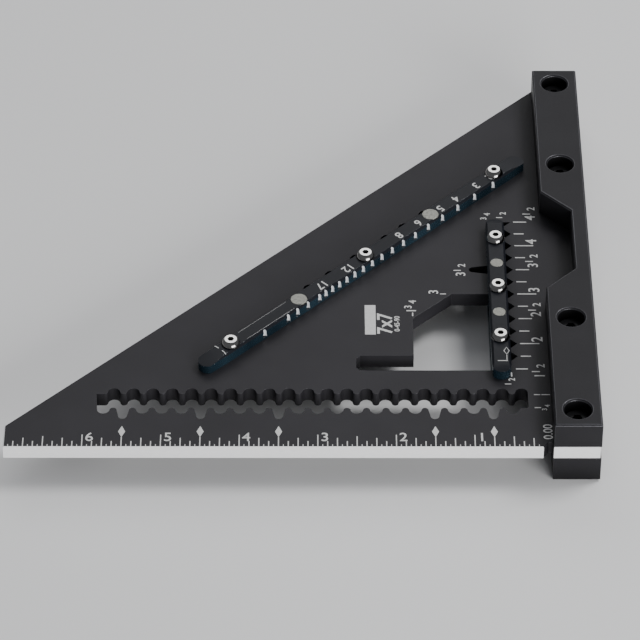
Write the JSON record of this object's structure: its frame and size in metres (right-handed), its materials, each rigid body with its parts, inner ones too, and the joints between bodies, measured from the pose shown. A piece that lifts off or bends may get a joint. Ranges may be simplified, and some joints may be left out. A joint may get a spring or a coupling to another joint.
{
  "type": "rafter square",
  "caption": "Triangular layout square with a graduated ruler edge, a scalloped scribe slot, a window, clamped-on layout bars and a two-rail fence.",
  "frame": {"origin": "centre of the bounding box, at the underside of the back fence rail", "axes": "+Z out of the front face of the plate, +X from the ruler's free end towards the fence, +Y from the ruler edge along the fence"},
  "size_m": [0.1932, 0.188, 0.0241],
  "materials": {
    "plate": "black anodised, satin, outer edges machined bare",
    "rail": "black anodised, satin",
    "bar": "black anodised, polished, pencil flutes machined bare",
    "steel_screw": "stainless steel, turned",
    "black_screw": "black oxide steel",
    "dowel": "ground steel",
    "magnet": "nickel plated, satin",
    "marking": "laser-bleached graduations and figures"
  },
  "bodies": {
    "root": {"fence_dowel_1": "dowel", "fence_dowel_2": "dowel", "fence_rail_back": "rail", "fence_rail_front": "rail", "fence_screw_1": "black_screw", "fence_screw_2": "black_screw", "fence_screw_3": "black_screw", "fence_screw_4": "black_screw", "rafter_bar_back": "bar", "rafter_bar_front": "bar", "rafter_bar_screw_1": "steel_screw", "rafter_bar_screw_2": "steel_screw", "rafter_bar_screw_3": "steel_screw", "rafter_barrel_nut_1": "steel_screw", "rafter_barrel_nut_2": "steel_screw", "rafter_barrel_nut_3": "steel_screw", "rafter_magnet_back_1": "magnet", "rafter_magnet_back_2": "magnet", "rafter_magnet_front_1": "magnet", "rafter_magnet_front_2": "magnet", "square_plate": "plate", "stud_bar_back": "bar", "stud_bar_front": "bar", "stud_bar_screw_1": "steel_screw", "stud_bar_screw_2": "steel_screw", "stud_bar_screw_3": "steel_screw", "stud_barrel_nut_1": "steel_screw", "stud_barrel_nut_2": "steel_screw", "stud_barrel_nut_3": "steel_screw", "stud_magnet_back_1": "magnet", "stud_magnet_back_2": "magnet", "stud_magnet_front_1": "magnet", "stud_magnet_front_2": "magnet"}
  },
  "joints": []
}
